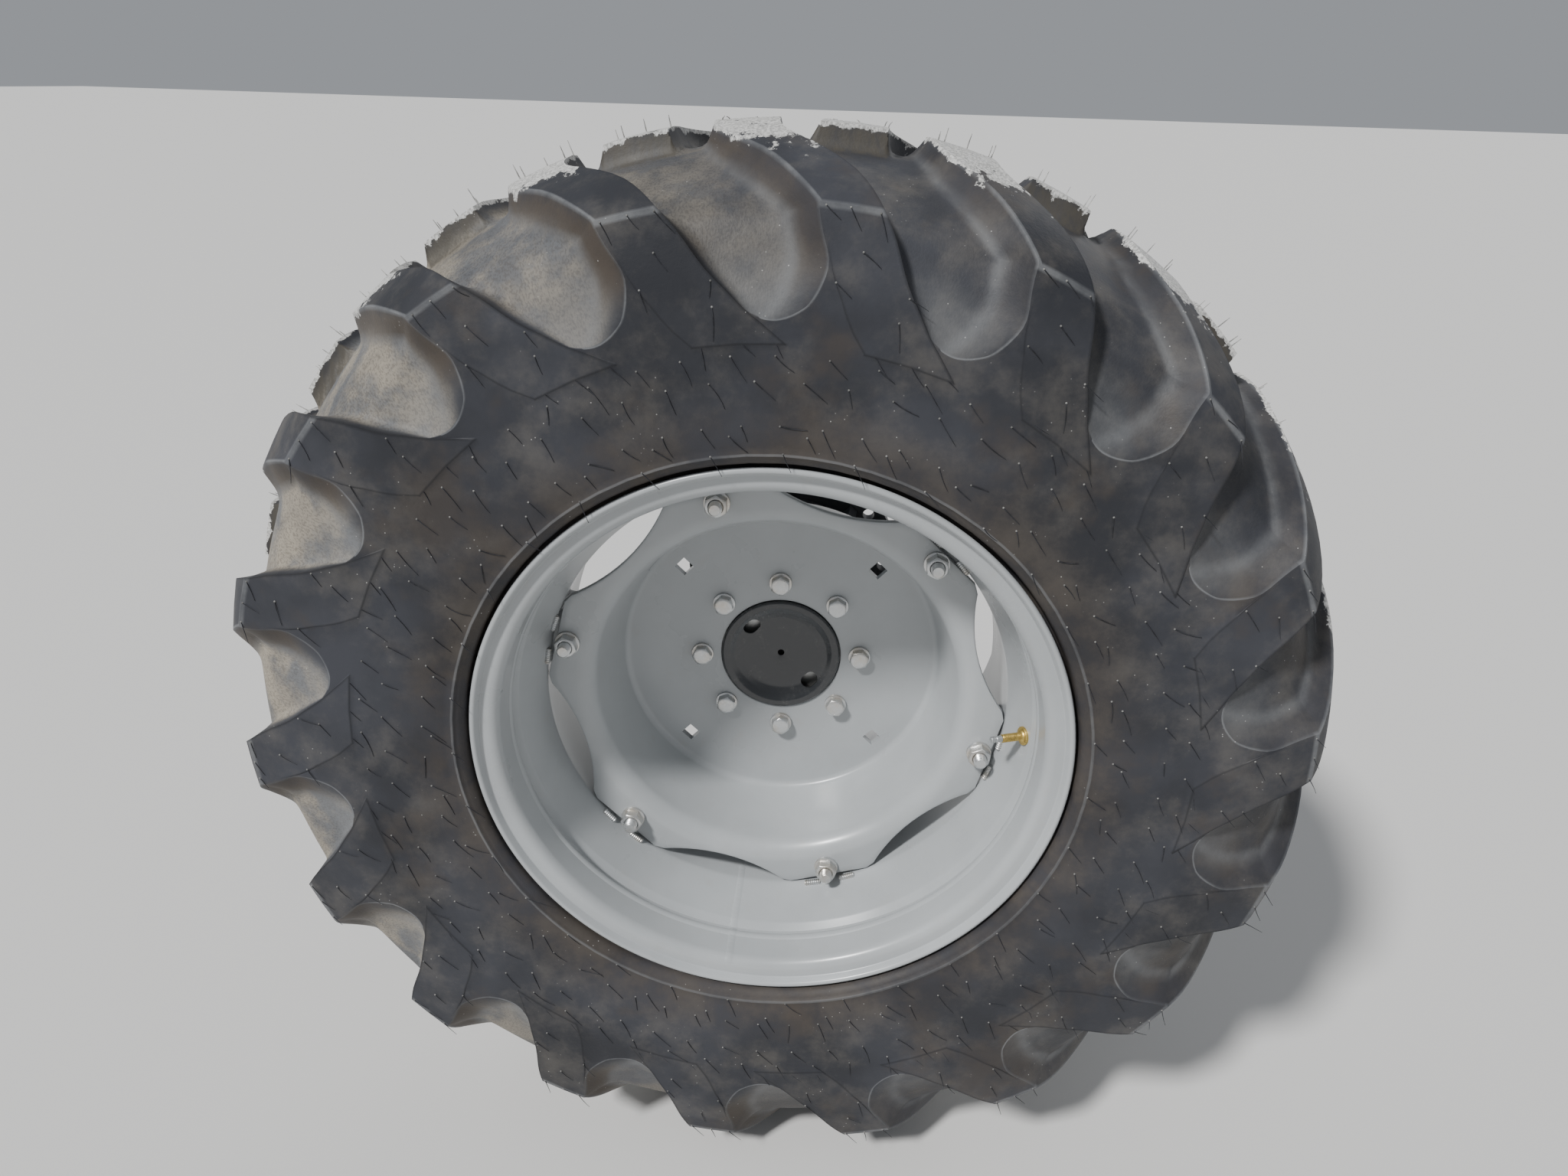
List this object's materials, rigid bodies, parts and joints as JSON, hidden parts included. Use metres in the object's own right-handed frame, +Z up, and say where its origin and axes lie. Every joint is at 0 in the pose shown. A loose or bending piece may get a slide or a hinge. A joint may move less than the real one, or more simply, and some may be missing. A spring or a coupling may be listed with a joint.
{
  "type": "tractor rear wheel on its axle end",
  "caption": "Rear wheel with an industrial lug tyre on a bolted disc and drop centre rim, carried by the flanged end of its axle housing.",
  "frame": {"origin": "centre of the axle housing's inboard flange face, on the wheel's axis", "axes": "+Y along the axle towards the machine, so the wheel's outboard side faces -Y; +Z up; +X to the right of someone who looks at the outboard side"},
  "size_m": [1.285, 0.5893, 1.285],
  "materials": {
    "tyre": "matte, dusty, with worn pale lug tops",
    "wheel_paint": "light grey semi-gloss paint",
    "zinc": "zinc plated",
    "black_paint": "glossy black paint",
    "valve_brass": "yellow brass, dulled",
    "bare_steel": "machined",
    "housing_paint": "dark paint on cast iron",
    "seal_rubber": "satin"
  },
  "bodies": {
    "axle_end": {"axle_housing": "housing_paint", "bearing_retainer": "housing_paint", "axle_bearing": "bare_steel", "oil_seal": "seal_rubber"},
    "wheel": {"tyre": "tyre", "rim": "wheel_paint", "wheel_disc": "wheel_paint", "rim_bracket_1": "wheel_paint", "rim_bracket_2": "wheel_paint", "rim_bracket_3": "wheel_paint", "rim_bracket_4": "wheel_paint", "rim_bracket_5": "wheel_paint", "rim_bracket_6": "wheel_paint", "rim_bolts": "zinc", "rim_nuts": "zinc", "hub_bolts": "zinc", "hub_cap": "black_paint", "valve": "valve_brass", "axle_shaft": "bare_steel"}
  },
  "joints": [
    {"name": "wheel_spin", "type": "hinge", "parent": "axle_end", "child": "wheel", "pos_m": [0, -0.365, 0], "axis": [0, 1, 0], "continuous": true}
  ]
}
